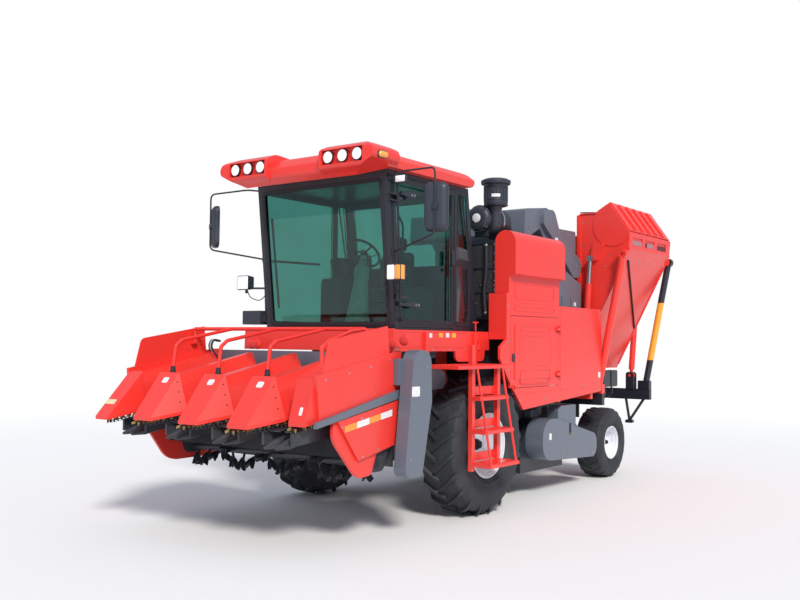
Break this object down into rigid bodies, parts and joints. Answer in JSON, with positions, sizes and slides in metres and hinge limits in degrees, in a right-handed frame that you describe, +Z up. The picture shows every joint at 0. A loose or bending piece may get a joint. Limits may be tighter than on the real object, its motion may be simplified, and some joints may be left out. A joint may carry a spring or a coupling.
{
  "type": "corn harvester",
  "caption": "Self-propelled corn picker: row header with snouts, glazed cab, husking body and a side-tipping ear tank on wheels.",
  "frame": {"origin": "on the ground, half way between the divider tips and the tow ears, in the middle of the width", "axes": "+Z up, the header faces -Y, +X is the machine's left"},
  "size_m": [3.207, 7.67, 3.6906],
  "materials": {
    "red_paint": "gloss",
    "grey_paint": "satin",
    "black_frame": "satin",
    "engine_iron": "matte",
    "black_plastic": "matte",
    "tinted_glass": "gloss",
    "lamp_white": "gloss",
    "seat_fabric": "matte",
    "tyre_rubber": "matte",
    "rim_paint": "gloss",
    "post_yellow": "gloss",
    "rod_chrome": "polished",
    "chain_brass": "zinc plated"
  },
  "bodies": {
    "machine": {"chassis_frame": "black_frame", "outriggers": "black_frame", "tow_hitch": "black_frame", "front_axle": "black_frame", "rear_axle": "black_frame", "engine": "engine_iron", "cooling_pack": "engine_iron", "cab_frame": "black_frame", "cab_windows": "tinted_glass", "cab_roof": "red_paint", "lamps": "lamp_white", "side_box": "black_plastic", "mirrors": "black_plastic", "seat": "seat_fabric", "steering_column": "black_plastic", "cab_deck": "red_paint", "ladder": "red_paint", "side_panels": "red_paint", "radiator_duct": "red_paint", "air_filter": "black_plastic", "fuel_tank": "black_frame", "elevator": "grey_paint", "distributor": "grey_paint", "husker": "grey_paint", "residue_chopper": "black_frame", "drive_case": "grey_paint", "hinge_post_front": "red_paint", "hinge_post_rear": "post_yellow", "pivot_brackets": "black_frame"},
    "wheel_front_left": {"tyre_front_left": "tyre_rubber", "rim_front_left": "rim_paint"},
    "wheel_front_right": {"tyre_front_right": "tyre_rubber", "rim_front_right": "rim_paint"},
    "steer_left": {"knuckle_left": "black_frame"},
    "steer_right": {"knuckle_right": "black_frame"},
    "wheel_rear_left": {"tyre_rear_left": "tyre_rubber", "rim_rear_left": "rim_paint"},
    "wheel_rear_right": {"tyre_rear_right": "tyre_rubber", "rim_rear_right": "rim_paint"},
    "cab_door_body": {"cab_door": "black_frame", "door_glass": "tinted_glass"},
    "service_left": {"service_door_left": "red_paint"},
    "service_right": {"service_door_right": "red_paint"},
    "header": {"feeder_house": "grey_paint", "header_frame": "grey_paint", "header_sides": "red_paint", "header_bars": "grey_paint", "dividers": "red_paint", "gathering_chains": "chain_brass", "row_units": "black_frame", "guard_pipes": "red_paint", "header_drives": "grey_paint", "chopper_hood": "black_frame"},
    "auger_rotor": {"cross_auger": "black_frame"},
    "chopper_rotor": {"stalk_chopper": "black_frame"},
    "lift_barrels": {"lift_cylinder_barrels": "black_frame"},
    "lift_rods": {"lift_cylinder_rods": "rod_chrome"},
    "tank": {"ear_tank": "red_paint"},
    "gate": {"tank_gate": "red_paint"},
    "tip_barrels": {"tip_cylinder_barrels": "black_frame"},
    "tip_rods": {"tip_cylinder_rods": "rod_chrome"}
  },
  "joints": [
    {"name": "wheel_front_left_spin", "type": "hinge", "parent": "machine", "child": "wheel_front_left", "pos_m": [1.06, -0.775, 0.725], "axis": [1, 0, 0], "continuous": true},
    {"name": "wheel_front_right_spin", "type": "hinge", "parent": "machine", "child": "wheel_front_right", "pos_m": [-1.06, -0.775, 0.725], "axis": [1, 0, 0], "continuous": true},
    {"name": "steer_left", "type": "hinge", "parent": "machine", "child": "steer_left", "pos_m": [0.74, 2.725, 0.465], "axis": [0, 0, 1], "range_deg": [-35, 35]},
    {"name": "steer_right", "type": "hinge", "parent": "machine", "child": "steer_right", "pos_m": [-0.74, 2.725, 0.465], "axis": [0, 0, 1], "range_deg": [-35, 35]},
    {"name": "wheel_rear_left_spin", "type": "hinge", "parent": "steer_left", "child": "wheel_rear_left", "pos_m": [0.925, 2.725, 0.465], "axis": [1, 0, 0], "continuous": true},
    {"name": "wheel_rear_right_spin", "type": "hinge", "parent": "steer_right", "child": "wheel_rear_right", "pos_m": [-0.925, 2.725, 0.465], "axis": [1, 0, 0], "continuous": true},
    {"name": "cab_door_hinge", "type": "hinge", "parent": "machine", "child": "cab_door_body", "pos_m": [0.895, -1.905, 2.6], "axis": [0, 0, -1], "range_deg": [0, 75]},
    {"name": "service_left_hinge", "type": "hinge", "parent": "machine", "child": "service_left", "pos_m": [1.25, 0.873, 1.7], "axis": [0, 0, 1], "range_deg": [0, 110]},
    {"name": "service_right_hinge", "type": "hinge", "parent": "machine", "child": "service_right", "pos_m": [-1.25, 0.873, 1.7], "axis": [0, 0, -1], "range_deg": [0, 110]},
    {"name": "header_lift", "type": "hinge", "parent": "machine", "child": "header", "pos_m": [0, -1.255, 1.415], "axis": [1, 0, 0], "range_deg": [-5, 17]},
    {"name": "auger_spin", "type": "hinge", "parent": "header", "child": "auger_rotor", "pos_m": [0, -2.515, 1.18], "axis": [1, 0, 0], "continuous": true},
    {"name": "chopper_spin", "type": "hinge", "parent": "header", "child": "chopper_rotor", "pos_m": [0, -2.605, 0.715], "axis": [1, 0, 0], "continuous": true},
    {"name": "lift_barrel_swing", "type": "hinge", "parent": "machine", "child": "lift_barrels", "pos_m": [0, -1.315, 0.875], "axis": [1, 0, 0], "range_deg": [-5.99, 20.24]},
    {"name": "lift_rod_slide", "type": "slide", "parent": "lift_barrels", "child": "lift_rods", "axis": [0, -0.9992, -0.0404], "range_m": [-0.15395, 0.04528]},
    {"name": "tank_tip", "type": "hinge", "parent": "machine", "child": "tank", "pos_m": [1.5, 2.925, 2.95], "axis": [0, 1, 0], "range_deg": [0, 90]},
    {"name": "gate_swing", "type": "hinge", "parent": "tank", "child": "gate", "pos_m": [1.271, 2.925, 3.638], "axis": [0, -1, 0], "range_deg": [0, 75]},
    {"name": "tip_barrel_swing", "type": "hinge", "parent": "machine", "child": "tip_barrels", "pos_m": [0.94, 2.925, 1.34], "axis": [0, 1, 0], "range_deg": [0, 10.21]},
    {"name": "tip_rod_slide", "type": "slide", "parent": "tip_barrels", "child": "tip_rods", "axis": [0.0699, 0, 0.9976], "range_m": [0, 0.55132]}
  ],
  "couplings": [
    {"joint": "steer_right", "follows": "steer_left", "ratio": 1},
    {"joint": "lift_barrel_swing", "follows": "header_lift", "ratio": 1.1875},
    {"joint": "lift_rod_slide", "follows": "header_lift", "m_per_rad": -0.51836},
    {"joint": "tip_barrel_swing", "follows": "tank_tip", "ratio": 0.11288},
    {"joint": "tip_rod_slide", "follows": "tank_tip", "m_per_rad": 0.35063}
  ]
}
